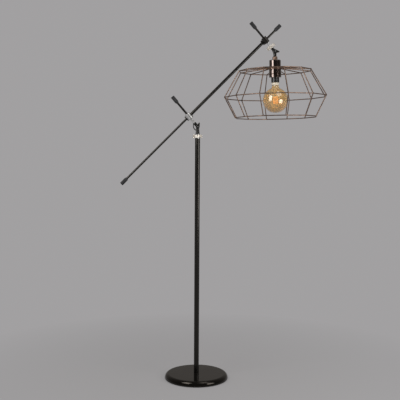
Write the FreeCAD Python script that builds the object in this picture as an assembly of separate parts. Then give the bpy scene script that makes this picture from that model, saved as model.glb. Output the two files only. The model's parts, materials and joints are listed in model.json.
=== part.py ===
import FreeCAD, Part
import math
import os

# Floor lamp: a round weighted base and a pole carry a boom between two crossed
# arms, and a wire cage shade hangs from the upper arm.
# Millimetres. The origin is the centre of the base on the floor, +Z is up,
# and the boom rises towards +X in a plane parallel to XZ.
# Every piece is built upright about its own axis and then stood in its place.

Vector = FreeCAD.Vector
ORIGIN = Vector(0, 0, 0)
X_AXIS = Vector(1, 0, 0)
Y_AXIS = Vector(0, 1, 0)
Z_AXIS = Vector(0, 0, 1)

# Base
base_radius = 156.5
base_top_radius = 137.5
base_top = 27.0
base_lip_radius = 4.0
base_lip_height = 1.2
sheet = 1.5
pad_thickness = 2.0
pad_radius = 150.0
weight_radius = 147.0
weight_thickness = 14.0
weight_bevel = 2.0
boss_radius = 30.0
boss_flare = 4.0
recess_radius = 16.0
recess_top = 20.0
nut_thickness = 6.0
nut_across_flats = 17.0

# Lead, which runs inside the tubes and past both joints
lead_radius = 2.3
lead_passage = 2.6
lead_height = 7.0
channel_width = 8.0
channel_top = 11.0
bush_radius = 4.0
bush_flange_radius = 5.5
bush_flange_thickness = 1.2
bush_bore = 2.75
bush_length = 9.0

# Pole
pole_radius = 12.5
pole_wall = 1.5
pole_top = 1190.0
plug_length = 22.0
stud_radius = 5.0
stud_bore = 3.2

# Neck between the pole and the lower joint
nipple_radius = 9.5
nipple_height = 21.0
nipple_edge = 0.8
spigot_radius = 5.5
spigot_length = 16.0
groove_radius = 4.5
groove_width = 3.6
grub_radius = 1.5
grub_height = 9.5
grub_length = 4.2
grub_socket = 1.5
collar_outer = 23.0
collar_height = 16.0
collar_rim = 3.0
neck_collar_lift = 2.5
running_gap = 0.05
face_gap = 0.3
drill_point = 3.0

# Tilting joints, measured from their pivots
lower_pivot = Vector(0, 0, 1248)
knuckle_radius = 9.0
cheek_radius = 10.2
ear_thickness = 4.2
tongue_thickness = 7.0
slot_bottom = 9.5
neck_radius = 7.5
neck_start = 9.4
neck_end = 24.0
fork_foot_radius = 10.0
fork_foot_height = 3.0
fork_waist_radius = 8.0
fork_waist = 15.0
upper_fork_length = 22.0
joint_screw_radius = 2.5
joint_screw_end = 1.5
screw_head_flats = 8.0
screw_head_height = 3.5
lever_hub_radius = 9.5
lever_thickness = 9.0
lever_reach = 21.0
lever_tip_radius = 3.4
lever_rim = 2.6
lower_lever_angle = 67.0
upper_lever_angle = -6.0

# Crossed arms and boom
arm_angle = 130.7
boom_angle = 45.3
boom_offset = 26.0
rod_radius = 5.25
rod_bore = 3.5
boom_tube_radius = 7.4
boom_tube_bore = 6.0
sleeve_radius = 13.5
sleeve_length = 33.0
sleeve_flat = 12.8
sleeve_edge = 0.8
socket_depth = 8.5
swivel_pin_radius = 6.0
swivel_pin_front = 5.5
swivel_pin_back = 19.0
lead_end = 5.0
lead_bend = 6.0
lower_cross_distance = 65.6
upper_cross_distance = 73.5
boom_length = 534.5
tail_length = 431.0
tip_length = 71.5
lower_counter_length = 87.0
upper_counter_length = 73.0

# End caps
cap_length = 40.0
cap_radius = 9.4
cap_mouth_radius = 6.6
cap_taper = 8.0
cap_socket = 30.0
cap_rim = 1.5
groove_depth = 0.9
groove_floor = 1.4
groove_count = 5

# Shade, as distances down from the upper pivot
shade_tilt = 1.2
cup_top = 24.0
cup_shoulder = 5.0
cup_radius = 12.2
cover_top = 42.0
cover_bottom = 120.0
cover_radius = 28.5
cover_corner = 3.0
cover_sheet = 1.2
cover_inner_corner = 2.0
skirt_radius = 30.0
skirt_bottom = 128.0
skirt_edge = 0.8
cage_collar_top = 75.0
cage_collar_bottom = 88.0
cage_collar_radius = 31.5
lampholder_radius = 19.6
lampholder_top = 56.0
lampholder_roof = 8.0
lampholder_dome = 12.0
lampholder_crown = 7.0
lampholder_step = 1.0
lampholder_lip = 1.5
lampholder_bottom = 153.0
lampholder_inner_cone = 4.0
spigot_end = 62.0
contact_top = 90.0
contact_thickness = 10.0
contact_post_radius = 3.0
shell_radius = 14.2
shell_bore = 13.5
shell_top = 124.0
shell_bottom = 149.0
bulb_tip = 128.0
bulb_cap_top = 130.0
bulb_cap_radius = 13.2
bulb_cap_bore = 11.0
bulb_tip_radius = 4.8
thread_pitch = 3.6
thread_depth = 1.0
thread_turns = 5
thread_start = 2.5
bulb_cap_floor = 3.0
bulb_cap_shoulder = 1.5
bulb_collar_top = 153.6
bulb_collar_bottom = 167.0
bulb_collar_radius = 18.0
bulb_collar_edge = 1.0
bulb_collar_taper = 2.0
bulb_collar_lip = 0.4
globe_centre = 240.3
globe_radius = 62.5
glass = 1.2
glass_neck_radius = 16.5
glass_neck_top = 160.0
glass_hollow = 16.0
stem_foot_radius = 9.0
stem_flare_radius = 7.0
stem_flare = 6.0
stem_neck_radius = 4.0
stem_neck = 14.0
stem_radius = 3.0
stem_taper = 30.0
stem_bead_radius = 4.2
stem_bead = 8.0
stem_tip_radius = 1.6
filament_top = 221.0
filament_bottom = 259.0
filament_radius = 1.3
filament_count = 8
filament_circle = 10.8

# Wire cage
wire_radius = 2.5
cage_sides = 12
cage_turn = 26.5
cage_bend = 9.0
top_ring_radius = 180.5
top_ring_drop = 95.0
middle_ring_radius = 255.4
middle_ring_drop = 224.0
bottom_ring_radius = 204.0
bottom_ring_drop = 324.6
spoke_drop = 81.5

# Holes are cut this far past the faces they open in
overshoot = 1.0

# Worked out from the sizes above
ear_gap = tongue_thickness / 2 + face_gap
ear_face = ear_gap + ear_thickness
rod_start = sleeve_length / 2 - socket_depth
shade_angle = -90 + shade_tilt


def along(origin, angle, distance):
    """Point at a distance from origin, at an angle from +X in the boom's plane."""
    turn = math.radians(angle)
    return origin + Vector(math.cos(turn), 0, math.sin(turn)) * distance


lower_cross = along(lower_pivot, arm_angle, lower_cross_distance)
upper_cross = along(lower_cross, boom_angle, boom_length)
upper_pivot = along(upper_cross, arm_angle, -upper_cross_distance)
lower_boom_end = lower_cross + Vector(0, boom_offset, 0)
upper_boom_end = upper_cross + Vector(0, boom_offset, 0)


def stood(shape, origin, angle):
    """The shape with its own +Z turned to an angle from +X, and moved to origin."""
    placed = shape.copy()
    placed.rotate(ORIGIN, Y_AXIS, 90 - angle)
    placed.translate(origin)
    return placed


def round_bar(radius, start, end, bore=0.0):
    """Bar or tube about Z from height start to height end."""
    bar = Part.makeCylinder(radius, end - start, Vector(0, 0, start))
    if bore > 0:
        drill = Part.makeCylinder(bore, end - start + 2 * overshoot, Vector(0, 0, start - overshoot))
        bar = bar.cut(drill)
    return bar


def cross_bar(radius, start, end, height=0.0):
    """Bar about Y from start to end, at a height."""
    return Part.makeCylinder(radius, end - start, Vector(0, start, height), Y_AXIS)


def spun(points):
    """Solid of revolution about Z from corners given as (radius, height)."""
    corners = [Vector(radius, 0, height) for radius, height in points]
    outline = Part.makePolygon(corners + [corners[0]])
    return Part.Face(outline).revolve(ORIGIN, Z_AXIS, 360)


def spun_edges(edges):
    """Solid of revolution about Z from a closed chain of edges in the XZ plane."""
    return Part.Face(Part.Wire(edges)).revolve(ORIGIN, Z_AXIS, 360)


def line(start, end):
    return Part.makeLine(Vector(start[0], 0, start[1]), Vector(end[0], 0, end[1]))


def arc(start, middle, end):
    corners = [Vector(point[0], 0, point[1]) for point in (start, middle, end)]
    return Part.Arc(*corners).toShape()


def on_ellipse(centre, half_width, half_height, angle):
    turn = math.radians(angle)
    return (centre[0] + half_width * math.cos(turn), centre[1] + half_height * math.sin(turn))


def hexagon(across_flats, start, end):
    """Hexagonal bar about Z with its corners turned down at both ends."""
    reach = across_flats / 2 / math.cos(math.radians(30))
    corners = []
    for step in range(7):
        turn = math.radians(60 * step)
        corners.append(Vector(reach * math.cos(turn), reach * math.sin(turn), start))
    bar = Part.Face(Part.makePolygon(corners)).extrude(Vector(0, 0, end - start))
    turned = round_bar(reach, start, end)
    turned = turned.makeChamfer((reach - across_flats / 2) * 0.8, turned.Edges)
    return bar.common(turned)


def bent_tube(points, bends, radius):
    """Round tube along straight runs joined by tangent arcs, one bend per inner point."""
    edges = []
    run_start = points[0]
    for index, bend in enumerate(bends):
        corner = points[index + 1]
        back = (points[index] - corner).normalize()
        ahead = (points[index + 2] - corner).normalize()
        half_turn = (math.pi - back.getAngle(ahead)) / 2
        reach = bend * math.tan(half_turn)
        first = corner + back * reach
        last = corner + ahead * reach
        inward = (back + ahead).normalize()
        middle = corner + inward * (bend / math.cos(half_turn) - bend)
        edges.append(Part.makeLine(run_start, first))
        edges.append(Part.Arc(first, middle, last).toShape())
        run_start = last
    edges.append(Part.makeLine(run_start, points[-1]))
    path = Part.Wire(edges)
    heading = (points[1] - points[0]).normalize()
    profile = Part.Wire(Part.makeCircle(radius, points[0], heading))
    tube = path.makePipeShell([profile], True, False)
    print("tube of", round(path.Length, 1), "mm with bends", [round(bend, 1) for bend in bends],
          "volume ratio", round(tube.Volume / (path.Length * math.pi * radius ** 2), 4))
    return tube


def widest_bends(points):
    """For each inner point, the largest arc that leaves a tenth of the shorter run straight."""
    bends = []
    for index in range(1, len(points) - 1):
        back = points[index - 1] - points[index]
        ahead = points[index + 1] - points[index]
        half_turn = (math.pi - back.getAngle(ahead)) / 2
        bends.append(0.45 * min(back.Length, ahead.Length) / math.tan(half_turn))
    return bends


# Base and pole


def base_cover():
    """Pressed dish: flat top, elliptical shoulder, and a lip rolled in at the foot."""
    foot = base_lip_height + base_lip_radius
    lip = base_radius - base_lip_radius
    centre = (base_top_radius, foot)

    def shoulder(inset):
        half_width = base_radius - base_top_radius - inset
        half_height = base_top - foot - inset
        return [on_ellipse(centre, half_width, half_height, 15 * step) for step in range(7)]

    outside = shoulder(0.0)
    inside = shoulder(sheet)
    inner_lip = base_lip_radius - sheet
    outer_middle = on_ellipse((lip, foot), base_lip_radius, base_lip_radius, -45)
    inner_middle = on_ellipse((lip, foot), inner_lip, inner_lip, -45)
    edges = [line((stud_radius, base_top), outside[6])]
    for step in (6, 4, 2):
        edges.append(arc(outside[step], outside[step - 1], outside[step - 2]))
    edges.append(arc(outside[0], outer_middle, (lip, base_lip_height)))
    edges.append(line((lip, base_lip_height), (lip, base_lip_height + sheet)))
    edges.append(arc((lip, base_lip_height + sheet), inner_middle, inside[0]))
    for step in (0, 2, 4):
        edges.append(arc(inside[step], inside[step + 1], inside[step + 2]))
    edges.append(line(inside[6], (stud_radius, base_top - sheet)))
    edges.append(line((stud_radius, base_top - sheet), (stud_radius, base_top)))
    bush_hole = cross_bar(bush_radius, weight_radius, base_radius + overshoot, lead_height)
    return spun_edges(edges).cut(bush_hole)


def base_weight():
    """Cast disc with a boss that meets the dish, and a channel for the lead."""
    bottom = pad_thickness
    top = bottom + weight_thickness
    outline = [(recess_radius, bottom), (weight_radius, bottom),
               (weight_radius, top - weight_bevel), (weight_radius - weight_bevel, top),
               (boss_radius + boss_flare, top), (boss_radius, base_top - sheet),
               (stud_radius, base_top - sheet), (stud_radius, recess_top),
               (recess_radius, recess_top)]
    channel = Part.makeBox(channel_width, weight_radius, channel_top - bottom,
                           Vector(-channel_width / 2, 0, bottom))
    return spun(outline).cut(channel)


def base_pad():
    return round_bar(pad_radius, 0, pad_thickness)


def base_lead_bush():
    """Flanged bush in the back of the dish."""
    outer = base_radius + bush_flange_thickness
    inner = outer - bush_length
    barrel = cross_bar(bush_radius, inner, outer, lead_height)
    flange = cross_bar(bush_flange_radius, base_radius, outer, lead_height)
    bore = cross_bar(bush_bore, inner - overshoot, outer + overshoot, lead_height)
    return barrel.fuse(flange).removeSplitter().cut(bore)


def base_nut():
    bottom = recess_top - nut_thickness
    return hexagon(nut_across_flats, bottom, recess_top).cut(round_bar(stud_radius, bottom, recess_top))


def pole_stud():
    return round_bar(stud_radius, recess_top - nut_thickness, base_top + plug_length, stud_bore)


def pole_plugs():
    """The two threaded plugs, one in each end of the pole."""
    inside = pole_radius - pole_wall
    foot = round_bar(inside, base_top, base_top + plug_length, stud_radius)
    head = round_bar(inside, pole_top - plug_length, pole_top, stud_radius)
    return Part.makeCompound([foot, head])


def pole_tube():
    return round_bar(pole_radius, base_top, pole_top, pole_radius - pole_wall)


def neck_nipple():
    """Bright nipple: a shank in the pole, a plain waist, and a grooved spigot for the head."""
    top = pole_top + nipple_height
    shank = round_bar(stud_radius, pole_top - plug_length, pole_top)
    waist = round_bar(nipple_radius, pole_top, top)
    waist = waist.makeChamfer(nipple_edge, waist.Edges)
    spigot = round_bar(spigot_radius, top, top + spigot_length)
    middle = top + grub_height
    groove = round_bar(spigot_radius + overshoot, middle - groove_width / 2,
                       middle + groove_width / 2, groove_radius)
    bore = round_bar(stud_bore, pole_top - plug_length - overshoot, top + spigot_length + overshoot)
    return shank.fuse([waist, spigot]).removeSplitter().cut([groove, bore])


def pale_collar(start, bore):
    """Collar with rounded rims, which starts at a height."""
    end = start + collar_height
    ring = round_bar(collar_outer, start, end)
    ring = ring.makeFillet(collar_rim, ring.Edges)
    return ring.cut(round_bar(bore, start - overshoot, end + overshoot))


def pole_lead():
    """Lead from the bush, through the weight's channel and up inside the pole."""
    inner_end = base_radius + bush_flange_thickness - bush_length
    points = [Vector(0, inner_end, lead_height), Vector(0, 0, lead_height),
              Vector(0, 0, pole_top + nipple_height + spigot_length)]
    return bent_tube(points, [lead_height], lead_radius)


# Tilting joints


def fork(skirt):
    """Fork with the pivot at the origin, on a skirt that is given below it."""
    disc = cross_bar(knuckle_radius, ear_gap, ear_face)
    web = Part.makeBox(2 * neck_radius, ear_thickness, slot_bottom,
                       Vector(-neck_radius, ear_gap, -slot_bottom))
    turned = round_bar(cheek_radius, -slot_bottom, knuckle_radius)
    back_ear = disc.fuse(web).common(turned)
    front_ear = back_ear.mirror(ORIGIN, Y_AXIS)
    body = skirt.fuse([back_ear, front_ear]).removeSplitter()
    return body.cut(cross_bar(joint_screw_radius, -ear_face - overshoot, ear_face + overshoot))


def grub_centre():
    """Height of the grub screw from the lower pivot."""
    return pole_top + nipple_height + grub_height - lower_pivot.z


def lower_fork():
    """Flared skirt with a bore for the nipple's spigot and a tapped hole at the back."""
    foot = pole_top + nipple_height + face_gap - lower_pivot.z
    bore = spigot_radius + running_gap
    outline = [(bore, foot), (fork_foot_radius, foot), (fork_foot_radius, foot + fork_foot_height),
               (fork_waist_radius, -fork_waist), (fork_waist_radius, -slot_bottom),
               (0, -slot_bottom), (0, -slot_bottom - drill_point),
               (bore, -slot_bottom - 2 * drill_point)]
    tapped = cross_bar(grub_radius, 0, fork_foot_radius + overshoot, grub_centre())
    return fork(spun(outline).cut(tapped))


def upper_fork():
    """Plain skirt with a socket for the arm's tube."""
    skirt = round_bar(neck_radius, -upper_fork_length, -slot_bottom)
    socket = round_bar(rod_radius, -upper_fork_length - overshoot, socket_depth - upper_fork_length)
    return fork(skirt.cut(socket))


def neck_grub_screw():
    """Grub screw from the back of the fork into the nipple's groove."""
    start = groove_radius + face_gap
    end = start + grub_length
    screw = cross_bar(grub_radius, start, end, grub_centre())
    key = hexagon(grub_socket, 0, grub_length / 2)
    key.rotate(ORIGIN, X_AXIS, -90)
    key.translate(Vector(0, end - grub_length / 2, grub_centre()))
    return screw.cut(key)


def tongue():
    """Tongue between the ears, and a round neck."""
    half = tongue_thickness / 2
    disc = cross_bar(knuckle_radius, -half, half)
    plate = Part.makeBox(2 * neck_radius, tongue_thickness, neck_start,
                         Vector(-neck_radius, -half, 0))
    plate = plate.common(round_bar(neck_radius, 0, neck_start))
    neck = round_bar(neck_radius, neck_start, neck_end)
    body = disc.fuse([plate, neck]).removeSplitter()
    screw_hole = cross_bar(joint_screw_radius + running_gap, -half - overshoot, half + overshoot)
    return body.cut(screw_hole)


def lower_tongue():
    """Tongue with a socket for the arm's tube."""
    return tongue().cut(round_bar(rod_radius, neck_end - socket_depth, neck_end + overshoot))


def upper_tongue():
    """Tongue with a hollow threaded spigot that carries the lampholder."""
    spigot = round_bar(stud_radius, neck_end, spigot_end)
    bore = round_bar(stud_bore, neck_end + overshoot, spigot_end + overshoot)
    return tongue().fuse(spigot).removeSplitter().cut(bore)


def joint_screw():
    """Screw through the ears, with a hexagonal head at the back."""
    end = -ear_face - face_gap - lever_thickness - joint_screw_end
    shank = cross_bar(joint_screw_radius, end, ear_face)
    head = hexagon(screw_head_flats, 0, screw_head_height)
    head.rotate(ORIGIN, X_AXIS, -90)
    head.translate(Vector(0, ear_face, 0))
    return shank.fuse(head)


def lever_nut(angle):
    """Round nut with one drawn-out lobe to turn it by."""
    back = -ear_face - face_gap
    front = back - lever_thickness
    reach = lever_reach - lever_tip_radius
    hub = cross_bar(lever_hub_radius, front, back)
    tip = Part.makeCylinder(lever_tip_radius, lever_thickness, Vector(reach, front, 0), Y_AXIS)
    lean = math.acos((lever_hub_radius - lever_tip_radius) / reach)
    corners = []
    for centre, radius in ((0, lever_hub_radius), (reach, lever_tip_radius)):
        corners.append(Vector(centre + radius * math.cos(lean), front, radius * math.sin(lean)))
    for corner in reversed(corners[:]):
        corners.append(Vector(corner.x, front, -corner.z))
    blade = Part.Face(Part.makePolygon(corners + [corners[0]]))
    blade = blade.extrude(Vector(0, lever_thickness, 0))
    nut = hub.fuse([tip, blade]).removeSplitter()
    rims = [edge for edge in nut.Edges if abs(edge.CenterOfMass.y - front) < 0.01]
    nut = nut.makeFillet(lever_rim, rims)
    nut = nut.cut(cross_bar(joint_screw_radius + running_gap, front - overshoot, back + overshoot))
    nut.rotate(ORIGIN, Y_AXIS, -angle)
    return nut


# Crosses, boom and end caps


def sleeve(bore_below, bore_above, pin_hole):
    """Short thick sleeve about Z, with a flat and a pin hole on its +Y side."""
    half = sleeve_length / 2
    body = round_bar(sleeve_radius, -half, half)
    body = body.makeChamfer(sleeve_edge, body.Edges)
    flat = Part.makeBox(2 * sleeve_radius, sleeve_radius, sleeve_length,
                        Vector(-sleeve_radius, sleeve_flat, -half))
    below = round_bar(bore_below, -half - overshoot, -rod_start)
    above = round_bar(bore_above, rod_start, half + overshoot)
    middle = round_bar(rod_radius, -rod_start, rod_start)
    pin = cross_bar(pin_hole, 0, sleeve_radius + overshoot)
    return body.cut([flat, below, above, middle, pin])


def front_sleeve():
    return sleeve(rod_radius, rod_radius, swivel_pin_radius + running_gap)


def rear_sleeve(bore_below, bore_above):
    """The same sleeve turned round, so that its flat faces the front one."""
    turned = sleeve(bore_below, bore_above, swivel_pin_radius)
    turned.rotate(ORIGIN, Z_AXIS, 180)
    return turned


def swivel_pin():
    """Hollow pin between the two sleeves of a cross; the lead passes through it."""
    pin = cross_bar(swivel_pin_radius, swivel_pin_front, swivel_pin_back)
    return pin.cut(cross_bar(rod_bore, swivel_pin_front - overshoot, swivel_pin_back + overshoot))


def end_cap():
    """Soft cap over a rod's end: a tapered mouth, grip grooves, and a closed end."""
    outline = [(0, cap_length), (0, cap_socket), (rod_radius, cap_socket), (rod_radius, 0),
               (cap_mouth_radius, 0), (cap_radius, cap_taper)]
    pitch = (cap_length - cap_taper - cap_rim) / groove_count
    slope = groove_depth / 2
    for groove in range(groove_count):
        start = cap_taper + pitch * (groove + 0.5) - groove_floor / 2
        end = start + groove_floor
        outline.append((cap_radius, start - slope))
        outline.append((cap_radius - groove_depth, start))
        outline.append((cap_radius - groove_depth, end))
        outline.append((cap_radius, end + slope))
    outline.append((cap_radius, cap_length - cap_rim))
    outline.append((cap_radius - cap_rim, cap_length))
    return spun(outline)


def counter_rod(length):
    """Thin tube from a sleeve's socket into its end cap."""
    return round_bar(rod_radius, rod_start, length + cap_socket, rod_bore)


def lower_tube():
    return round_bar(rod_radius, neck_end - socket_depth, lower_cross_distance - rod_start, rod_bore)


def upper_tube():
    start = upper_fork_length - socket_depth
    return round_bar(rod_radius, start, upper_cross_distance - rod_start, rod_bore)


def boom_tube():
    return round_bar(boom_tube_radius, rod_start, boom_length - rod_start, boom_tube_bore)


# Leads past the joints and through the boom


def lower_lead_loop(radius):
    """Loop on the low side of the lower joint, from the fork into the arm's tube."""
    points = [lower_pivot + Vector(-1.5, 0, -17.5), lower_pivot + Vector(-11, 0, -17.5),
              lower_pivot + Vector(-21, 0, -5), lower_pivot + Vector(-20.5, 0, 11),
              along(lower_pivot, arm_angle, neck_end + 8)]
    bends = widest_bends(points + [lower_cross])
    points = points + [lower_cross, lower_cross + Vector(0, lead_end, 0)]
    return bent_tube(points, bends + [lead_end - 0.1], radius)


def upper_lead_loop(radius):
    """From the upper cross to the lampholder, passing behind the upper joint."""
    behind = Vector(0, ear_face + screw_head_height + 5, 0)
    points = [upper_cross, along(upper_pivot, arm_angle, neck_end + 20),
              along(upper_pivot, arm_angle, 13) + behind,
              along(upper_pivot, shade_angle, 19) + behind,
              along(upper_pivot, shade_angle, cup_top + 15),
              along(upper_pivot, shade_angle, contact_top - face_gap)]
    bends = widest_bends(points)
    points = [upper_cross + Vector(0, lead_end, 0)] + points
    return bent_tube(points, [lead_end - 0.1] + bends, radius)


def boom_lead():
    """Lead through both swivel pins and the boom's tube."""
    front = lead_end + face_gap
    points = [lower_cross + Vector(0, front, 0), lower_boom_end,
              upper_boom_end, upper_cross + Vector(0, front, 0)]
    return bent_tube(points, [lead_bend, lead_bend], lead_radius)


# Lampholder and bulb


def holder_neck_cup():
    """Small bell over the spigot, between the joint and the lampholder's cover."""
    shoulder = cup_top + cup_shoulder
    rounding = cup_shoulder * (1 - math.sqrt(0.5))
    inner = cup_radius - cover_sheet
    edges = [line((stud_radius, cup_top), (cup_radius - cup_shoulder, cup_top)),
             arc((cup_radius - cup_shoulder, cup_top), (cup_radius - rounding, cup_top + rounding),
                 (cup_radius, shoulder)),
             line((cup_radius, shoulder), (cup_radius, cover_top)),
             line((cup_radius, cover_top), (inner, cover_top)),
             line((inner, cover_top), (inner, shoulder)),
             line((inner, shoulder), (stud_radius, shoulder)),
             line((stud_radius, shoulder), (stud_radius, cup_top))]
    return spun_edges(edges)


def holder_cover():
    """Deep cup over the lampholder, closed at the top."""
    rounding = cover_corner * (1 - math.sqrt(0.5))
    inner = cover_radius - cover_sheet
    roof = cover_top + cover_sheet
    edges = [line((stud_radius, cover_top), (cover_radius - cover_corner, cover_top)),
             arc((cover_radius - cover_corner, cover_top),
                 (cover_radius - rounding, cover_top + rounding),
                 (cover_radius, cover_top + cover_corner)),
             line((cover_radius, cover_top + cover_corner), (cover_radius, cover_bottom)),
             line((cover_radius, cover_bottom), (inner, cover_bottom)),
             line((inner, cover_bottom), (inner, roof + cover_inner_corner)),
             line((inner, roof + cover_inner_corner), (inner - cover_inner_corner, roof)),
             line((inner - cover_inner_corner, roof), (stud_radius, roof)),
             line((stud_radius, roof), (stud_radius, cover_top))]
    return spun_edges(edges)


def holder_nut():
    """Nut on the spigot that holds the cover up against the cup."""
    top = cover_top + cover_sheet
    bottom = top + nut_thickness
    return hexagon(nut_across_flats, top, bottom).cut(round_bar(stud_radius, top, bottom))


def holder_skirt():
    """Sleeve that screws up round the cover, clamps the cage, and closes the bottom."""
    floor = skirt_bottom - sheet
    outline = [(cover_radius, cage_collar_bottom), (skirt_radius - skirt_edge, cage_collar_bottom),
               (skirt_radius, cage_collar_bottom + skirt_edge),
               (skirt_radius, skirt_bottom - skirt_edge), (skirt_radius - skirt_edge, skirt_bottom),
               (lampholder_radius, skirt_bottom), (lampholder_radius, floor), (cover_radius, floor)]
    return spun(outline)


def lampholder_body():
    """Dark insulating body: a domed top round the spigot, and a skirt round the bulb's cap."""
    outer = lampholder_radius
    upper = outer - lampholder_step
    foot = lampholder_bottom - lampholder_step
    roof = lampholder_top + lampholder_roof
    outline = [(stud_radius, lampholder_top), (outer - lampholder_crown, lampholder_top),
               (upper, lampholder_top + lampholder_dome), (upper, cage_collar_bottom),
               (outer, cage_collar_bottom + lampholder_step), (outer, foot),
               (upper, lampholder_bottom), (shell_radius + lampholder_lip, lampholder_bottom),
               (shell_radius, lampholder_bottom - lampholder_lip),
               (shell_radius, contact_top - lampholder_inner_cone),
               (shell_radius - lampholder_inner_cone, roof + lampholder_roof), (stud_radius, roof)]
    return spun(outline)


def lampholder_shell():
    """Thin shell that takes the bulb's screw cap."""
    return round_bar(shell_radius, shell_top, shell_bottom, shell_bore)


def lampholder_contact():
    """Insulating disc with a post that presses on the tip of the bulb's cap."""
    disc = round_bar(shell_radius, contact_top, contact_top + contact_thickness)
    post = round_bar(contact_post_radius, contact_top + contact_thickness, bulb_tip)
    return disc.fuse(post)


def bulb_cap():
    """Hollow screw cap: rounded threads, and a contact at its tip."""
    crest = bulb_cap_radius
    root = crest - thread_depth
    floor = bulb_cap_top + bulb_cap_floor
    outline = [(0, bulb_tip), (bulb_tip_radius, bulb_tip), (bulb_tip_radius, bulb_cap_top),
               (root - bulb_cap_shoulder, bulb_cap_top + bulb_cap_shoulder)]
    for turn in range(thread_turns):
        start = bulb_cap_top + thread_start + thread_pitch * turn
        outline.append((root, start))
        outline.append((crest, start + thread_depth))
        outline.append((crest, start + thread_pitch / 2))
        outline.append((root, start + thread_pitch / 2 + thread_depth))
    outline.append((crest, bulb_collar_top - bulb_collar_taper))
    outline.append((crest, glass_neck_top))
    outline.append((bulb_cap_bore, glass_neck_top))
    outline.append((bulb_cap_bore, floor))
    outline.append((0, floor))
    return spun(outline)


def bulb_collar():
    """Pale ring between the screw cap and the glass."""
    outer = bulb_collar_radius
    outline = [(bulb_cap_radius, bulb_collar_top), (outer - bulb_collar_edge, bulb_collar_top),
               (outer, bulb_collar_top + bulb_collar_edge),
               (outer, bulb_collar_bottom - bulb_collar_taper),
               (glass_neck_radius + bulb_collar_lip, bulb_collar_bottom),
               (glass_neck_radius, bulb_collar_bottom), (glass_neck_radius, glass_neck_top),
               (bulb_cap_radius, glass_neck_top)]
    return spun(outline)


def bulb_solid(inset):
    """Neck, hollow curve and globe as one solid, drawn in from the outside by inset."""
    neck = glass_neck_radius - inset
    globe = globe_radius - inset
    hollow = glass_hollow + inset
    hollow_x = glass_neck_radius + glass_hollow
    span = globe_radius + glass_hollow
    rise = math.sqrt(span ** 2 - hollow_x ** 2)
    hollow_z = globe_centre - rise
    start = (neck, glass_neck_top + inset)
    join = (globe / span * hollow_x, globe_centre - globe / span * rise)
    half = math.atan2(rise, hollow_x) / 2
    hollow_middle = (hollow_x - hollow * math.cos(half), hollow_z + hollow * math.sin(half))
    side = (globe, globe_centre)
    side_middle = (globe * math.cos(half), globe_centre - globe * math.sin(half))
    low = (globe * math.sqrt(0.5), globe_centre + globe * math.sqrt(0.5))
    end = (0, globe_centre + globe)
    edges = [line(start, (neck, hollow_z)),
             arc((neck, hollow_z), hollow_middle, join),
             arc(join, side_middle, side),
             arc(side, low, end),
             line(end, (0, start[1])),
             line((0, start[1]), start)]
    return spun_edges(edges)


def bulb_glass():
    return bulb_solid(0.0).cut(bulb_solid(glass))


def bulb_stem():
    """Glass stem that flares from the neck and carries the filaments."""
    base = glass_neck_top + glass
    bead = filament_top - stem_bead
    outline = [(0, base), (stem_foot_radius, base), (stem_flare_radius, base + stem_flare),
               (stem_neck_radius, base + stem_neck), (stem_radius, base + stem_taper),
               (stem_radius, bead - stem_bead_radius), (stem_bead_radius, bead),
               (stem_tip_radius, bead + stem_bead_radius), (stem_tip_radius, filament_bottom),
               (0, filament_bottom + stem_tip_radius)]
    return spun(outline)


def bulb_filaments():
    """Straight rods in a ring round the stem."""
    rods = []
    for step in range(filament_count):
        turn = math.radians(360 * (step + 0.5) / filament_count)
        foot = Vector(math.cos(turn), math.sin(turn), 0) * filament_circle
        start = foot + Vector(0, 0, filament_top)
        end = foot + Vector(0, 0, filament_bottom)
        rods.append(wire_between(start, end, filament_radius))
    return Part.makeCompound(rods)


# Wire cage


def wire_between(start, end, radius):
    return Part.makeCylinder(radius, (end - start).Length, start, end - start)


def cage_corner(radius, drop, side):
    turn = math.radians(cage_turn + 360 * side / cage_sides)
    return Vector(radius * math.cos(turn), radius * math.sin(turn), drop)


def cage_ring(radius, drop):
    """Wire bent to a closed ring of straight sides, with a small bend at each corner."""
    half_turn = math.pi / cage_sides
    reach = cage_bend * math.tan(half_turn)
    inset = cage_bend / math.cos(half_turn) - cage_bend
    edges = []
    for side in range(cage_sides):
        corner = cage_corner(radius, drop, side)
        following = cage_corner(radius, drop, side + 1)
        back = (cage_corner(radius, drop, side - 1) - corner).normalize()
        ahead = (following - corner).normalize()
        middle = corner + (back + ahead).normalize() * inset
        edges.append(Part.Arc(corner + back * reach, middle, corner + ahead * reach).toShape())
        edges.append(Part.makeLine(corner + ahead * reach, following - ahead * reach))
    path = Part.Wire(edges)
    corner = cage_corner(radius, drop, 0)
    back = (cage_corner(radius, drop, -1) - corner).normalize()
    profile = Part.Wire(Part.makeCircle(wire_radius, corner + back * reach, back))
    return path.makePipeShell([profile], True, False)


def cage_wires(first_radius, first_drop, last_radius, last_drop, trims):
    """Straight wires between two rings, each cut to meet what it is welded to."""
    wires = []
    for side in range(cage_sides):
        start = cage_corner(first_radius, first_drop, side)
        end = cage_corner(last_radius, last_drop, side)
        wires.append(wire_between(start, end, wire_radius).cut(trims))
    return Part.makeCompound(wires)


def cage_collar():
    """Ring that sits round the cover and rests on the skirt."""
    ring = round_bar(cage_collar_radius, cage_collar_top, cage_collar_bottom)
    ring = ring.makeChamfer(skirt_edge, ring.Edges)
    return ring.cut(round_bar(cover_radius, cage_collar_top - overshoot, cage_collar_bottom + overshoot))


# Assembly

nodes = {}

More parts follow.
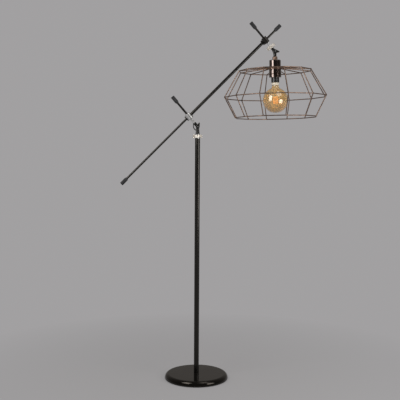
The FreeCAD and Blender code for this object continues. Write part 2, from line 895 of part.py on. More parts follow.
# The stand stays still
nodes["base_cover"] = base_cover()
nodes["base_weight"] = base_weight()
nodes["base_pad"] = base_pad()
nodes["base_lead_bush"] = base_lead_bush()
nodes["base_nut"] = base_nut()
nodes["pole_stud"] = pole_stud()
nodes["pole_plugs"] = pole_plugs()
nodes["pole_tube"] = pole_tube()
nodes["neck_nipple"] = neck_nipple()
nodes["neck_collar"] = pale_collar(pole_top + neck_collar_lift, nipple_radius)
nodes["pole_lead"] = pole_lead()

# The head turns on the nipple
lower_passage = lower_lead_loop(lead_passage)
nodes["lower_joint_fork"] = stood(lower_fork(), lower_pivot, 90).cut(lower_passage)
nodes["lower_joint_screw"] = stood(joint_screw(), lower_pivot, 90)
nodes["neck_grub_screw"] = stood(neck_grub_screw(), lower_pivot, 90)
nodes["lower_lever_nut"] = stood(lever_nut(lower_lever_angle), lower_pivot, 90)

# The arm tilts at the lower joint
lower_cap_foot = along(lower_cross, arm_angle, lower_counter_length)
nodes["lower_joint_tongue"] = stood(lower_tongue(), lower_pivot, arm_angle).cut(lower_passage)
nodes["lower_joint_tube"] = stood(lower_tube(), lower_pivot, arm_angle).cut(lower_passage)
nodes["lower_front_sleeve"] = stood(front_sleeve(), lower_cross, arm_angle)
nodes["lower_counter_rod"] = stood(counter_rod(lower_counter_length), lower_cross, arm_angle)
nodes["lower_counter_cap"] = stood(end_cap(), lower_cap_foot, arm_angle)
nodes["lower_lead_loop"] = lower_lead_loop(lead_radius)

# The boom swivels at the lower cross
tail_angle = boom_angle + 180
tail_cap_foot = along(lower_boom_end, tail_angle, tail_length)
tip_cap_foot = along(upper_boom_end, boom_angle, tip_length)
lower_rear_sleeve = rear_sleeve(rod_radius, boom_tube_radius)
upper_rear_sleeve = rear_sleeve(boom_tube_radius, rod_radius)
nodes["lower_rear_sleeve"] = stood(lower_rear_sleeve, lower_boom_end, boom_angle)
nodes["lower_swivel_pin"] = stood(swivel_pin(), lower_cross, 90)
nodes["boom_tail_rod"] = stood(counter_rod(tail_length), lower_boom_end, tail_angle)
nodes["boom_tail_cap"] = stood(end_cap(), tail_cap_foot, tail_angle)
nodes["boom_tube"] = stood(boom_tube(), lower_boom_end, boom_angle)
nodes["boom_lead"] = boom_lead()
nodes["upper_rear_sleeve"] = stood(upper_rear_sleeve, upper_boom_end, boom_angle)
nodes["upper_swivel_pin"] = stood(swivel_pin(), upper_cross, 90)
nodes["boom_tip_rod"] = stood(counter_rod(tip_length), upper_boom_end, boom_angle)
nodes["boom_tip_cap"] = stood(end_cap(), tip_cap_foot, boom_angle)

# The shade arm swivels at the upper cross
upper_passage = upper_lead_loop(lead_passage)
upper_cap_foot = along(upper_cross, arm_angle, upper_counter_length)
arm_collar = pale_collar(upper_fork_length + 0.5, rod_radius)
nodes["upper_front_sleeve"] = stood(front_sleeve(), upper_cross, arm_angle)
nodes["upper_counter_rod"] = stood(counter_rod(upper_counter_length), upper_cross, arm_angle)
nodes["upper_counter_cap"] = stood(end_cap(), upper_cap_foot, arm_angle)
nodes["upper_joint_tube"] = stood(upper_tube(), upper_pivot, arm_angle).cut(upper_passage)
nodes["arm_collar"] = stood(arm_collar, upper_pivot, arm_angle).cut(upper_passage)
nodes["upper_joint_fork"] = stood(upper_fork(), upper_pivot, arm_angle + 180).cut(upper_passage)
nodes["upper_joint_screw"] = stood(joint_screw(), upper_pivot, 90)
nodes["upper_lead_loop"] = upper_lead_loop(lead_radius)
nodes["upper_lever_nut"] = stood(lever_nut(upper_lever_angle), upper_pivot, 90)

# The shade tilts at the upper joint
top_ring = cage_ring(top_ring_radius, top_ring_drop)
middle_ring = cage_ring(middle_ring_radius, middle_ring_drop)
bottom_ring = cage_ring(bottom_ring_radius, bottom_ring_drop)
collar = cage_collar()
spokes = cage_wires(cover_radius + overshoot, spoke_drop, top_ring_radius, top_ring_drop,
                    [collar, top_ring])
upper_ribs = cage_wires(top_ring_radius, top_ring_drop, middle_ring_radius, middle_ring_drop,
                        [top_ring, middle_ring, spokes])
lower_ribs = cage_wires(middle_ring_radius, middle_ring_drop, bottom_ring_radius, bottom_ring_drop,
                        [middle_ring, bottom_ring])
hanging = {
    "upper_joint_tongue": upper_tongue(),
    "holder_neck_cup": holder_neck_cup(),
    "holder_cover": holder_cover(),
    "holder_nut": holder_nut(),
    "holder_skirt": holder_skirt(),
    "lampholder_body": lampholder_body(),
    "lampholder_shell": lampholder_shell(),
    "lampholder_contact": lampholder_contact(),
    "bulb_cap": bulb_cap(),
    "bulb_collar": bulb_collar(),
    "bulb_glass": bulb_glass(),
    "bulb_stem": bulb_stem(),
    "bulb_filaments": bulb_filaments(),
    "cage_collar": collar,
    "cage_spokes": spokes,
    "cage_top_ring": top_ring,
    "cage_upper_ribs": upper_ribs,
    "cage_middle_ring": middle_ring,
    "cage_lower_ribs": lower_ribs,
    "cage_bottom_ring": bottom_ring,
}
for name, shape in hanging.items():
    nodes[name] = stood(shape, upper_pivot, shade_angle)
for name in ("upper_joint_tongue", "holder_neck_cup"):
    nodes[name] = nodes[name].cut(upper_passage)

os.makedirs("parts", exist_ok=True)
for name, shape in nodes.items():
    shape.exportStep("parts/" + name + ".step")
    print(name, len(shape.Solids), "solids", round(shape.Volume), "mm3")
print("lower cross", lower_cross, "upper cross", upper_cross, "upper pivot", upper_pivot)
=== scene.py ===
import json
import math

import bpy
from mathutils import Matrix, Vector


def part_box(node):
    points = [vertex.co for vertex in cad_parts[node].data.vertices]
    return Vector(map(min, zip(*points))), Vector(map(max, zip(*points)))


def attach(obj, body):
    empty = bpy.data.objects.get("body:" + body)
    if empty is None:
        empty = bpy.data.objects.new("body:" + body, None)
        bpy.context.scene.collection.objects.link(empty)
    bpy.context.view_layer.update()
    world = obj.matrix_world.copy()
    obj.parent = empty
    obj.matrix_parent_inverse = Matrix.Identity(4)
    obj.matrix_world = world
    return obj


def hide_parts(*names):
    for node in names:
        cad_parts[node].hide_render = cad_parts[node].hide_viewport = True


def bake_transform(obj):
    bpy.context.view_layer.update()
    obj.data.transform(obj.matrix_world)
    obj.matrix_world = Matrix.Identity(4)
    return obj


# Looks of the wire cage floor lamp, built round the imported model.
# Blender works in metres. Sizes below are millimetres, and MM turns them into metres.
# A piece is modelled upright about its own +Z in millimetres, and a place stands it up
# in the frame: its origin is a joint's pivot, and its +Z points along the arm or shade.

MM = 0.001

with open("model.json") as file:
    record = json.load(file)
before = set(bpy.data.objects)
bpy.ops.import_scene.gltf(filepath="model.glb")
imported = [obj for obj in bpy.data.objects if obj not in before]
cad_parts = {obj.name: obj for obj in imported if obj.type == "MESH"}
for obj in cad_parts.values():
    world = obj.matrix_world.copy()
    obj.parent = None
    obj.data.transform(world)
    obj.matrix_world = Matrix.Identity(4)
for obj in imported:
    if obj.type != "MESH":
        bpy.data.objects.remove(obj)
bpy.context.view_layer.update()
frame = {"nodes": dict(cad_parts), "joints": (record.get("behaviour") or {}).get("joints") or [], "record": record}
nodes = frame["nodes"]
joint_at = {joint["name"]: Vector(joint["pos_m"]) / MM for joint in frame["joints"]}

# Camera, which stands where the photograph was taken from
frame_pixels = 400
sensor_width = 36.0
focal_pixels = 726.7
camera_place = Vector((-237.0, -3577.0, 1106.4))
camera_yaw = -4.0
camera_pitch = -1.62
camera_roll = 0.318
camera_shift = -0.06

# Light; metal mirrors a dark studio in front of the lamp and a lighter one behind it
backdrop_grey = (0.36, 0.352, 0.357)
mirrored_front = (0.05, 0.048, 0.045)
mirrored_back = (0.235, 0.217, 0.20)
mirror_fade = (-0.25, 0.75)
ambient = 0.36
ambient_tint = (1.0, 0.99, 0.975, 1)
lamp_tint = (1.0, 0.985, 0.965)
floor_size = 30000.0
floor_roughness = 0.9
floor_specular = 0.1
floor_glow_near_base = 0.5
floor_fade_start = 350.0
floor_fade_end = 1500.0

# Each softbox: place, width, height and watts
softbox_left = (Vector((-970, -850, 1850)), 850, 1300, 20.0)
softbox_right = (Vector((1440, -1200, 1090)), 850, 1060, 16.0)
softbox_top = (Vector((820, -760, 2650)), 1150, 1150, 9.0)

# Fineness of the noise in the finishes, and the part of its range that is used
tone_detail = 4.0
smudge_detail = 5.0
grain_detail = 2.0
noise_low = 0.3
noise_high = 0.7

# Fineness of round meshes
lathe_segments = 72
fillet_steps = 5
curve_steps = 10
lead_sides = 5
wire_sides = 3

# End caps
cap_groove_count = 5
cap_groove_depth = 0.9
cap_groove_width = 2.3
cap_edge = 0.3
cap_mouth_radius = 6.6
cap_mouth_edge = 0.5
cap_taper = 8.0
cap_shoulder = 3.0
cap_rim = 2.2
rod_radius = 5.25

# Leads; the lower one's points are right of and above the lower pivot, up to the arm's tube,
# and distances along an arm or the shade count from its own pivot
lead_radius = 2.3
lower_lead_points = [(0, -21), (-1.5, -17.5), (-11, -17.5), (-21, -5), (-20.5, 11)]
lower_lead_in_tube = (32, 45)
upper_lead_in_tube = (60, 44)
upper_lead_on_arm = 13
upper_lead_on_shade = 19
upper_lead_in_cover = (39, 60)
upper_lead_offset = 17.5

# Cage; a weld is a wire's end that swells, and steps down on a shoulder
cage_sides = 12
cage_bend = 9.0
bend_shares = (0.0, 0.25, 0.5, 0.75, 1.0)
wire_radius = 2.5
weld_reach = 5.0
weld_swell = 1.42
shoulder_share = 0.55
shoulder_swell = 1.16

# Filaments, with rounded ends as (distance from the end, share of the radius)
filament_count = 8
filament_radius = 1.3
filament_round = ((0.0, 0.35), (0.7, 0.85), (1.6, 1.0))
filament_tip_radius = 0.55
filament_tip = 2.6
filament_tip_inside = 1.0
support_radius = 0.28
support_top_share = 0.3
support_top_rise = 7.0
support_foot_share = 0.12
support_foot_drop = 1.0


# Places


def toward(origin, target):
    """Place at origin whose +Z points at target; both lie in the plane of the arms."""
    direction = (target - origin).normalized()
    turn = math.atan2(direction.x, direction.z)
    return Matrix.Translation(origin) @ Matrix.Rotation(turn, 4, "Y")


def node_points(node):
    """A node's vertices in millimetres."""
    return [vertex.co / MM for vertex in nodes[node].data.vertices]


def centre_of(node):
    """Middle of a node's box in millimetres."""
    low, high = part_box(node)
    return (low + high) / 2 / MM


def extent(node, place):
    """Lowest and highest point of a node along a place's axis, and its largest radius."""
    back = place.inverted()
    local = [back @ point for point in node_points(node)]
    heights = [point.z for point in local]
    radius = max(math.hypot(point.x, point.y) for point in local)
    return min(heights), max(heights), radius


lower_pivot = joint_at["lower_tilt"]
upper_pivot = joint_at["shade_tilt"]
lower_cross = joint_at["boom_swivel"]
upper_cross = joint_at["shade_arm_swivel"]
boom_offset = Vector((0, centre_of("boom_tube").y, 0))
upright = Matrix.Identity(4)
arm = toward(lower_pivot, lower_cross)
upper_arm = toward(upper_pivot, upper_cross)
boom = toward(lower_cross + boom_offset, upper_cross + boom_offset)
tail = toward(lower_cross + boom_offset, lower_cross * 2 - upper_cross + boom_offset)
shade = toward(upper_pivot, centre_of("cage_middle_ring"))


# Meshes


def new_object(name, data):
    """Object with this data, linked to the scene."""
    thing = bpy.data.objects.new(name, data)
    bpy.context.scene.collection.objects.link(thing)
    return thing


def new_piece(name, vertices, faces, place):
    """Smooth mesh object from points in millimetres about a place."""
    mesh = bpy.data.meshes.new(name)
    mesh.from_pydata([(place @ Vector(vertex)) * MM for vertex in vertices], [], faces)
    mesh.validate()
    mesh.shade_smooth()
    return new_object(name, mesh)


def rounded(corners):
    """Profile whose corners, given as (radius, height, fillet), are turned to arcs."""
    profile = []
    for index, corner in enumerate(corners):
        here = Vector(corner[:2])
        fillet = corner[2] if len(corner) > 2 else 0.0
        if fillet == 0.0 or index in (0, len(corners) - 1):
            profile.append(tuple(here))
            continue
        back = (Vector(corners[index - 1][:2]) - here).normalized()
        ahead = (Vector(corners[index + 1][:2]) - here).normalized()
        half = back.angle(ahead) / 2
        reach = fillet / math.tan(half)
        centre = here + (back + ahead).normalized() * (fillet / math.sin(half))
        first = here + back * reach - centre
        turn = first.angle_signed(here + ahead * reach - centre)
        for step in range(fillet_steps + 1):
            spoke = first.copy()
            spoke.rotate(Matrix.Rotation(-turn * step / fillet_steps, 2))
            profile.append(tuple(centre + spoke))
    return profile


def lathe(name, profile, place):
    """Profile of (radius, height) points spun about a place's axis."""
    vertices = []
    rings = []
    for radius, height in profile:
        if radius < 1e-6:
            rings.append([len(vertices)] * lathe_segments)
            vertices.append((0, 0, height))
            continue
        rings.append(list(range(len(vertices), len(vertices) + lathe_segments)))
        for step in range(lathe_segments):
            turn = math.tau * step / lathe_segments
            vertices.append((radius * math.cos(turn), radius * math.sin(turn), height))
    faces = []
    for lower, upper in zip(rings, rings[1:]):
        for step in range(lathe_segments):
            following = (step + 1) % lathe_segments
            face = [lower[step], lower[following], upper[following], upper[step]]
            face = [corner for order, corner in enumerate(face) if corner not in face[:order]]
            if len(face) > 2:
                faces.append(face)
    return new_piece(name, vertices, faces, place)


def wire_mesh(name, routes, radius, place, kind="POLY", closed=False, sides=wire_sides,
              swells=None):
    """Round wires along routes in millimetres, as one mesh piece; swells scale the radius."""
    curve = bpy.data.curves.new(name, "CURVE")
    curve.dimensions = "3D"
    curve.bevel_depth = radius * MM
    curve.bevel_resolution = sides
    curve.use_fill_caps = not closed
    curve.resolution_u = curve_steps
    for route in routes:
        spline = curve.splines.new(kind)
        spline.points.add(len(route) - 1)
        for index, point in enumerate(route):
            spline.points[index].co = (*((place @ point) * MM), 1.0)
            if swells:
                spline.points[index].radius = swells[index]
        spline.use_cyclic_u = closed
        if kind == "NURBS":
            spline.use_endpoint_u = True
            spline.order_u = 3
    source = new_object(name + "_line", curve)
    depsgraph = bpy.context.evaluated_depsgraph_get()
    mesh = bpy.data.meshes.new_from_object(source.evaluated_get(depsgraph))
    mesh.name = name
    mesh.shade_smooth()
    bpy.data.objects.remove(source)
    bpy.data.curves.remove(curve)
    return new_object(name, mesh)


# Materials


def material_tree(name):
    """New material, its node tree and its shader node."""
    material = bpy.data.materials.new(name)
    material.use_nodes = True
    tree = material.node_tree
    return material, tree, tree.nodes["Principled BSDF"]


def object_noise(tree, scale, detail):
    """Noise over the object's own coordinates; scale is in features per metre."""
    coordinates = tree.nodes.new("ShaderNodeTexCoord")
    texture = tree.nodes.new("ShaderNodeTexNoise")
    texture.inputs["Scale"].default_value = scale
    texture.inputs["Detail"].default_value = detail
    tree.links.new(coordinates.outputs["Object"], texture.inputs["Vector"])
    return texture.outputs["Fac"]


def spread(tree, value, low, high, start=noise_low, end=noise_high):
    """Maps a value from start..end to low..high."""
    ranged = tree.nodes.new("ShaderNodeMapRange")
    ranged.inputs["From Min"].default_value = start
    ranged.inputs["From Max"].default_value = end
    ranged.inputs["To Min"].default_value = low
    ranged.inputs["To Max"].default_value = high
    tree.links.new(value, ranged.inputs["Value"])
    return ranged.outputs["Result"]


def two_tones(tree, factor, first, second):
    """Colour between two tones."""
    mix = tree.nodes.new("ShaderNodeMix")
    mix.data_type = "RGBA"
    mix.inputs["A"].default_value = (*first, 1)
    mix.inputs["B"].default_value = (*second, 1)
    tree.links.new(factor, mix.inputs["Factor"])
    return mix.outputs["Result"]


def bump(tree, height, depth):
    """Normal from a height; depth is in millimetres."""
    node = tree.nodes.new("ShaderNodeBump")
    node.inputs["Distance"].default_value = depth * MM
    tree.links.new(height, node.inputs["Height"])
    return node.outputs["Normal"]


def surface(name, tones, tone_scale, roughness, smudge_scale, grain_scale, grain_depth, **fixed):
    """Finish with blotches of two tones, smudged roughness and a fine grain.

    Scales are in features per metre, and the grain's depth is in millimetres. The rest are
    the shader's own sockets, with their spaces written as underscores.
    """
    material, tree, shader = material_tree(name)
    blotches = spread(tree, object_noise(tree, tone_scale, tone_detail), 0.0, 1.0)
    tree.links.new(two_tones(tree, blotches, *tones), shader.inputs["Base Color"])
    smudges = spread(tree, object_noise(tree, smudge_scale, smudge_detail), *roughness)
    tree.links.new(smudges, shader.inputs["Roughness"])
    grain = object_noise(tree, grain_scale, grain_detail)
    tree.links.new(bump(tree, grain, grain_depth), shader.inputs["Normal"])
    for socket, value in fixed.items():
        shader.inputs[socket.replace("_", " ")].default_value = value
    return material


finishes = {
    "black_gloss": surface(
        "gloss_black_paint", tones=((0.0045, 0.004, 0.0036), (0.007, 0.0062, 0.0054)),
        tone_scale=9.0, roughness=(0.08, 0.12), smudge_scale=22.0, grain_scale=420.0,
        grain_depth=0.002, Specular_IOR_Level=0.3, Specular_Tint=(1.0, 0.90, 0.80, 1)),
    "black_paint": surface(
        "satin_black_paint", tones=((0.0045, 0.0042, 0.0038), (0.008, 0.0074, 0.0066)),
        tone_scale=14.0, roughness=(0.17, 0.23), smudge_scale=18.0, grain_scale=900.0,
        grain_depth=0.002, Specular_IOR_Level=0.36, Specular_Tint=(1.0, 0.94, 0.86, 1)),
    "black_knuckle": surface(
        "plated_black", tones=((0.008, 0.008, 0.007), (0.018, 0.017, 0.016)), tone_scale=60.0,
        roughness=(0.20, 0.30), smudge_scale=90.0, grain_scale=1400.0, grain_depth=0.004,
        Metallic=0.35),
    "black_lever": surface(
        "moulded_black", tones=((0.006, 0.006, 0.006), (0.010, 0.010, 0.010)), tone_scale=50.0,
        roughness=(0.12, 0.20), smudge_scale=100.0, grain_scale=1800.0, grain_depth=0.003,
        Specular_IOR_Level=0.6),
    "black_rubber": surface(
        "soft_rubber", tones=((0.014, 0.014, 0.015), (0.028, 0.028, 0.030)), tone_scale=70.0,
        roughness=(0.60, 0.80), smudge_scale=150.0, grain_scale=2600.0, grain_depth=0.03,
        Specular_IOR_Level=0.35),
    "black_foam": surface(
        "foam_pad", tones=((0.02, 0.02, 0.02), (0.045, 0.045, 0.045)), tone_scale=400.0,
        roughness=(0.85, 0.97), smudge_scale=300.0, grain_scale=1500.0, grain_depth=0.12,
        Specular_IOR_Level=0.2),
    "black_holder": surface(
        "black_thermoset", tones=((0.006, 0.0055, 0.005), (0.010, 0.009, 0.0085)), tone_scale=90.0,
        roughness=(0.24, 0.36), smudge_scale=120.0, grain_scale=1500.0, grain_depth=0.006),
    "cast_iron": surface(
        "cast_iron", tones=((0.09, 0.088, 0.085), (0.16, 0.155, 0.15)), tone_scale=120.0,
        roughness=(0.55, 0.8), smudge_scale=200.0, grain_scale=500.0, grain_depth=0.25,
        Metallic=0.6),
    "zinc": surface(
        "zinc_plate", tones=((0.48, 0.49, 0.50), (0.60, 0.60, 0.59)), tone_scale=200.0,
        roughness=(0.26, 0.42), smudge_scale=300.0, grain_scale=2400.0, grain_depth=0.01,
        Metallic=1.0),
    "nickel": surface(
        "bright_nickel", tones=((0.60, 0.60, 0.60), (0.72, 0.72, 0.715)), tone_scale=45.0,
        roughness=(0.30, 0.40), smudge_scale=90.0, grain_scale=2600.0, grain_depth=0.002,
        Metallic=1.0),
    "clear_collar": surface(
        "half_clear_plastic", tones=((0.93, 0.87, 0.79), (0.97, 0.93, 0.87)), tone_scale=70.0,
        roughness=(0.10, 0.22), smudge_scale=60.0, grain_scale=300.0, grain_depth=0.01,
        Transmission_Weight=0.74, IOR=1.38),
    "lead": surface(
        "lead_sheath", tones=((0.008, 0.008, 0.008), (0.014, 0.014, 0.014)), tone_scale=120.0,
        roughness=(0.32, 0.46), smudge_scale=200.0, grain_scale=2200.0, grain_depth=0.008),
    "copper_finish": surface(
        "antique_copper", tones=((0.105, 0.068, 0.050), (0.25, 0.168, 0.126)), tone_scale=40.0,
        roughness=(0.26, 0.42), smudge_scale=90.0, grain_scale=1600.0, grain_depth=0.01,
        Metallic=0.85),
    "dark_bronze": surface(
        "black_bronze", tones=((0.105, 0.077, 0.067), (0.165, 0.125, 0.110)), tone_scale=24.0,
        roughness=(0.10, 0.17), smudge_scale=60.0, grain_scale=1800.0, grain_depth=0.002,
        Metallic=1.0, Coat_Weight=1.0, Coat_Roughness=0.06),
    "brass": surface(
        "bright_brass", tones=((0.55, 0.40, 0.17), (0.66, 0.50, 0.24)), tone_scale=90.0,
        roughness=(0.2, 0.36), smudge_scale=200.0, grain_scale=2000.0, grain_depth=0.008,
        Metallic=1.0),
    "pale_insulator": surface(
        "cream_glaze", tones=((0.60, 0.53, 0.42), (0.70, 0.64, 0.53)), tone_scale=80.0,
        roughness=(0.12, 0.22), smudge_scale=90.0, grain_scale=1200.0, grain_depth=0.004,
        Coat_Weight=0.4, Coat_Roughness=0.05),
    "amber_glass": surface(
        "amber_glass", tones=((0.93, 0.65, 0.29), (0.98, 0.78, 0.46)), tone_scale=16.0,
        roughness=(0.01, 0.04), smudge_scale=20.0, grain_scale=30.0, grain_depth=0.004,
        Transmission_Weight=0.74, IOR=1.45, Specular_IOR_Level=0.9, Coat_Weight=1.0,
        Coat_Roughness=0.02),
    "clear_glass": surface(
        "clear_glass", tones=((0.96, 0.95, 0.92), (0.99, 0.98, 0.96)), tone_scale=60.0,
        roughness=(0.0, 0.03), smudge_scale=90.0, grain_scale=300.0, grain_depth=0.001,
        Transmission_Weight=1.0, IOR=1.47),
    # The filament's coat has a faint painted glow: its orange emission makes it brighter than the softboxes alone
    # would light it
    "filament": surface(
        "phosphor_coat_painted_glow", tones=((0.86, 0.42, 0.03), (0.95, 0.56, 0.06)), tone_scale=500.0,
        roughness=(0.45, 0.65), smudge_scale=500.0, grain_scale=2200.0, grain_depth=0.05,
        Emission_Color=(1.0, 0.42, 0.03, 1), Emission_Strength=0.8),
}

for part in frame["record"]["subparts"]:
    nodes[part["node"]].material_slots[0].material = finishes[part["material_slot"]]


def dress(piece, slot):
    """Gives a new piece the finish of a material slot."""
    piece.data.materials.clear()
    piece.data.materials.append(finishes[slot])
    return piece


# End caps


def grip_cap(name, node, place, body):
    """Soft cap with a tapered mouth and rounded grip grooves, over the same length."""
    foot, top, radius = extent(node, place)
    pitch = (top - foot - cap_taper - cap_rim) / cap_groove_count
    bottom = radius - cap_groove_depth
    corners = [(rod_radius, foot + cap_taper), (rod_radius, foot, cap_edge),
               (cap_mouth_radius, foot, cap_mouth_edge),
               (radius, foot + cap_taper, cap_shoulder)]
    for groove in range(cap_groove_count):
        middle = foot + cap_taper + pitch * (groove + 0.5)
        start = middle - cap_groove_width / 2
        end = middle + cap_groove_width / 2
        corners.append((radius, start, cap_edge))
        corners.append((bottom, start + cap_groove_depth / 2, cap_edge))
        corners.append((bottom, end - cap_groove_depth / 2, cap_edge))
        corners.append((radius, end, cap_edge))
    corners.append((radius, top, cap_rim))
    corners.append((0, top))
    piece = dress(lathe(name, rounded(corners), place), "black_rubber")
    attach(piece, body)
    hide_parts(node)


grip_cap("lower_counter_grip", "lower_counter_cap", arm, "arm")
grip_cap("upper_counter_grip", "upper_counter_cap", upper_arm, "shade_arm")
grip_cap("boom_tip_grip", "boom_tip_cap", boom, "boom")
grip_cap("boom_tail_grip", "boom_tail_cap", tail, "boom")


# Leads past the tilting joints


def along(place, distance):
    """Point on a place's axis."""
    return place @ Vector((0, 0, distance))


def lower_lead():
    """Loop on the low side of the lower joint, from the fork into the arm's tube."""
    route = [lower_pivot + Vector((right, 0, up)) for right, up in lower_lead_points]
    route += [along(arm, distance) for distance in lower_lead_in_tube]
    piece = wire_mesh("lower_joint_lead", [route], lead_radius, upright, "NURBS",
                      sides=lead_sides)
    dress(piece, "lead")
    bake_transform(piece)
    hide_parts("lower_lead_loop")


def upper_lead():
    """From the arm's tube past the back of the upper joint to the lampholder."""
    behind = Vector((0, upper_lead_offset, 0))
    route = [along(upper_arm, distance) for distance in upper_lead_in_tube]
    route.append(along(upper_arm, upper_lead_on_arm) + behind)
    route.append(along(shade, upper_lead_on_shade) + behind)
    route += [along(shade, distance) for distance in upper_lead_in_cover]
    piece = wire_mesh("upper_joint_lead", [route], lead_radius, upright, "NURBS",
                      sides=lead_sides)
    dress(piece, "lead")
    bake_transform(piece)
    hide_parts("upper_lead_loop")


lower_lead()
upper_lead()


# Wire cage


def cage_corner(radius, drop, side, turn):
    """Corner of a ring; drop is its height along the shade's axis, which points down."""
    angle = turn + math.tau * side / cage_sides
    return Vector((radius * math.cos(angle), radius * math.sin(angle), drop))


def ring_sizes(node):
    """Corner radius, height along the shade's axis, and turn of a ring's first corner."""
    low, high, outer = extent(node, shade)
    back = shade.inverted()
    farthest = max((back @ point for point in node_points(node)),
                   key=lambda point: math.hypot(point.x, point.y))
    bend_inset = cage_bend / math.cos(math.pi / cage_sides) - cage_bend
    corner = outer - wire_radius + bend_inset
    turn = math.atan2(farthest.y, farthest.x) % (math.tau / cage_sides)
    return corner, (low + high) / 2, turn


def ring_route(radius, drop, turn):
    """Closed route of straight sides with a small bend at each corner."""
    half = math.pi / cage_sides
    reach = cage_bend * math.tan(half)
    route = []
    for side in range(cage_sides):
        corner = cage_corner(radius, drop, side, turn)
        back = (cage_corner(radius, drop, side - 1, turn) - corner).normalized()
        ahead = (cage_corner(radius, drop, side + 1, turn) - corner).normalized()
        start = corner + back * reach
        end = corner + ahead * reach
        for share in bend_shares:
            route.append(start.lerp(corner, share).lerp(corner.lerp(end, share), share))
    return route


def welded_wires(name, node, starts, ends):
    """Straight wires that swell a little into the weld at each end."""
    routes = []
    for start, end in zip(starts, ends):
        axis = (end - start).normalized()
        routes.append([start, start + axis * weld_reach * shoulder_share,
                       start + axis * weld_reach, start.lerp(end, 0.5),
                       end - axis * weld_reach, end - axis * weld_reach * shoulder_share, end])
    swells = [weld_swell, shoulder_swell, 1.0, 1.0, 1.0, shoulder_swell, weld_swell]
    piece = wire_mesh(name, routes, wire_radius, shade, swells=swells)
    dress(piece, "copper_finish")
    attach(piece, "shade")
    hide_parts(node)


def cage():
    """The three rings, and the straight wires from the collar down through their corners."""
    corners = {}
    for level in ("top", "middle", "bottom"):
        node = "cage_" + level + "_ring"
        radius, drop, turn = ring_sizes(node)
        piece = wire_mesh(node + "_wire", [ring_route(radius, drop, turn)], wire_radius, shade,
                          closed=True)
        dress(piece, "copper_finish")
        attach(piece, "shade")
        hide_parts(node)
        corners[level] = [cage_corner(radius, drop, side, turn) for side in range(cage_sides)]
    collar_low, collar_high, collar_radius = extent("cage_collar", shade)
    hub = (collar_low + collar_high) / 2
    turns = [math.atan2(corner.y, corner.x) for corner in corners["top"]]
    feet = [Vector((collar_radius * math.cos(turn), collar_radius * math.sin(turn), hub))
            for turn in turns]
    welded_wires("cage_spoke_wires", "cage_spokes", feet, corners["top"])
    welded_wires("cage_upper_rib_wires", "cage_upper_ribs", corners["top"], corners["middle"])
    welded_wires("cage_lower_rib_wires", "cage_lower_ribs", corners["middle"], corners["bottom"])


cage()


# Filaments and their wires


def filament_places():
    """Centre line of each filament as its two ends, in the shade's own frame."""
    back = shade.inverted()
    groups = {}
    for point in node_points("bulb_filaments"):
        local = back @ point
        turn = math.atan2(local.y, local.x) / math.tau
        step = round(turn * filament_count - 0.5) % filament_count
        groups.setdefault(step, []).append(local)
    ends = []
    for step in sorted(groups):
        points = groups[step]
        centre = sum(points, Vector((0, 0, 0))) / len(points)
        top = min(point.z for point in points)
        bottom = max(point.z for point in points)
        ends.append((Vector((centre.x, centre.y, top)), Vector((centre.x, centre.y, bottom))))
    return ends


def filaments():
    """The coated sticks, the bare wire at both of their ends, and the supports."""
    sticks = []
    tips = []
    supports = []
    for top, bottom in filament_places():
        axis = (bottom - top).normalized()
        upper = [top + axis * reach for reach, swell in filament_round]
        lower = [bottom - axis * reach for reach, swell in reversed(filament_round)]
        sticks.append([*upper, top.lerp(bottom, 0.5), *lower])
        top_tip = top - axis * filament_tip
        bottom_tip = bottom + axis * filament_tip
        tips.append([top_tip, top + axis * filament_tip_inside])
        tips.append([bottom - axis * filament_tip_inside, bottom_tip])
        supports.append([Vector((top.x * support_top_share, top.y * support_top_share,
                                 top.z - support_top_rise)), top_tip])
        supports.append([Vector((bottom.x * support_foot_share, bottom.y * support_foot_share,
                                 bottom.z + support_foot_drop)), bottom_tip])
    ends = [swell for reach, swell in filament_round]
    swells = [*ends, 1.0, *reversed(ends)]
    coated = wire_mesh("filament_sticks", sticks, filament_radius, shade, swells=swells)
    dress(coated, "filament")
    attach(coated, "shade")
    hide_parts("bulb_filaments")
    metal = wire_mesh("filament_tips", tips, filament_tip_radius, shade)
    dress(metal, "nickel")
    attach(metal, "shade")
    wires = wire_mesh("filament_supports", supports, support_radius, shade)
    dress(wires, "nickel")
    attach(wires, "shade")


filaments()


# Stage, light and camera


def seen_directly(tree):
    """1 for rays from the camera and for reflections and refractions of it."""
    path = tree.nodes.new("ShaderNodeLightPath")
    total = path.outputs["Is Camera Ray"]
    for name in ("Is Glossy Ray", "Is Transmission Ray"):
        add = tree.nodes.new("ShaderNodeMath")
        add.operation = "MAXIMUM"
        tree.links.new(total, add.inputs[0])
        tree.links.new(path.outputs[name], add.inputs[1])
        total = add.outputs[0]
    return total


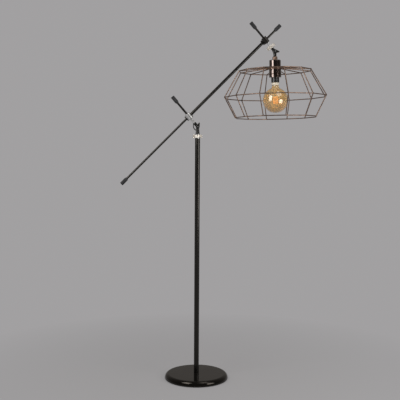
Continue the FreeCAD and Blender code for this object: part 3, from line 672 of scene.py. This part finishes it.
def make_floor():
    """Pale floor that shades near the base and runs out into the backdrop's grey."""
    half = floor_size / 2
    mesh = bpy.data.meshes.new("floor")
    corners = [(-half, -half), (half, -half), (half, half), (-half, half)]
    mesh.from_pydata([(x * MM, y * MM, 0) for x, y in corners], [], [(0, 1, 2, 3)])
    floor = new_object("floor", mesh)
    material, tree, shader = material_tree("floor_paper")
    shader.inputs["Base Color"].default_value = (*backdrop_grey, 1)
    shader.inputs["Roughness"].default_value = floor_roughness
    shader.inputs["Specular IOR Level"].default_value = floor_specular
    glow = tree.nodes.new("ShaderNodeEmission")
    glow.inputs["Color"].default_value = (*backdrop_grey, 1)
    coordinates = tree.nodes.new("ShaderNodeTexCoord")
    distance = tree.nodes.new("ShaderNodeVectorMath")
    distance.operation = "LENGTH"
    tree.links.new(coordinates.outputs["Object"], distance.inputs[0])
    fade = spread(tree, distance.outputs["Value"], floor_glow_near_base, 1.0,
                  floor_fade_start * MM, floor_fade_end * MM)
    weight = tree.nodes.new("ShaderNodeMath")
    weight.operation = "MULTIPLY"
    tree.links.new(fade, weight.inputs[0])
    tree.links.new(seen_directly(tree), weight.inputs[1])
    mix = tree.nodes.new("ShaderNodeMixShader")
    tree.links.new(weight.outputs[0], mix.inputs["Fac"])
    tree.links.new(shader.outputs["BSDF"], mix.inputs[1])
    tree.links.new(glow.outputs["Emission"], mix.inputs[2])
    tree.links.new(mix.outputs["Shader"], tree.nodes["Material Output"].inputs["Surface"])
    mesh.materials.append(material)


def make_world():
    """Even ambient light, seen as the backdrop's grey, and dimmer where a surface mirrors it."""
    world = bpy.data.worlds.new("studio")
    bpy.context.scene.world = world
    world.use_nodes = True
    tree = world.node_tree
    light = tree.nodes["Background"]
    light.inputs["Color"].default_value = ambient_tint
    light.inputs["Strength"].default_value = ambient
    seen = tree.nodes.new("ShaderNodeBackground")
    seen.inputs["Color"].default_value = (*backdrop_grey, 1)
    mirrored = tree.nodes.new("ShaderNodeBackground")
    direction = tree.nodes.new("ShaderNodeTexCoord")
    parts = tree.nodes.new("ShaderNodeSeparateXYZ")
    tree.links.new(direction.outputs["Generated"], parts.inputs["Vector"])
    behind = spread(tree, parts.outputs["Y"], 0.0, 1.0, *mirror_fade)
    tree.links.new(two_tones(tree, behind, mirrored_front, mirrored_back), mirrored.inputs["Color"])
    path = tree.nodes.new("ShaderNodeLightPath")
    gloss = tree.nodes.new("ShaderNodeMixShader")
    tree.links.new(path.outputs["Is Glossy Ray"], gloss.inputs["Fac"])
    tree.links.new(seen.outputs["Background"], gloss.inputs[1])
    tree.links.new(mirrored.outputs["Background"], gloss.inputs[2])
    mix = tree.nodes.new("ShaderNodeMixShader")
    tree.links.new(seen_directly(tree), mix.inputs["Fac"])
    tree.links.new(light.outputs["Background"], mix.inputs[1])
    tree.links.new(gloss.outputs["Shader"], mix.inputs[2])
    tree.links.new(mix.outputs["Shader"], tree.nodes["World Output"].inputs["Surface"])


def softbox(name, target, place, width, height, power):
    """Rectangular area light that faces a point."""
    data = bpy.data.lights.new(name, "AREA")
    data.shape = "RECTANGLE"
    data.size = width * MM
    data.size_y = height * MM
    data.energy = power
    data.color = lamp_tint
    light = new_object(name, data)
    light.location = place * MM
    light.rotation_mode = "QUATERNION"
    light.rotation_quaternion = (place - target).to_track_quat("Z", "Y")
    light.visible_camera = False


def make_lights():
    """Softboxes on both sides facing the bulb, and one above facing the lower cross."""
    bulb = centre_of("bulb_glass")
    softbox("softbox_left", bulb, *softbox_left)
    softbox("softbox_right", bulb, *softbox_right)
    softbox("softbox_top", lower_cross, *softbox_top)


def make_camera():
    """Camera at the photograph's place and angle."""
    data = bpy.data.cameras.new("camera")
    data.sensor_width = sensor_width
    data.lens = focal_pixels / frame_pixels * sensor_width
    data.shift_y = camera_shift
    camera = new_object("camera", data)
    level = Matrix.Rotation(math.radians(90), 3, "X")
    yaw = Matrix.Rotation(math.radians(camera_yaw), 3, "Z")
    pitch = Matrix.Rotation(math.radians(camera_pitch), 3, "X")
    roll = Matrix.Rotation(math.radians(camera_roll), 3, "Z")
    facing = (yaw @ level @ pitch @ roll).to_4x4()
    camera.matrix_world = Matrix.Translation(camera_place * MM) @ facing
    bpy.context.scene.camera = camera


make_floor()
make_world()
make_lights()
make_camera()
bpy.context.scene.view_settings.view_transform = "Standard"
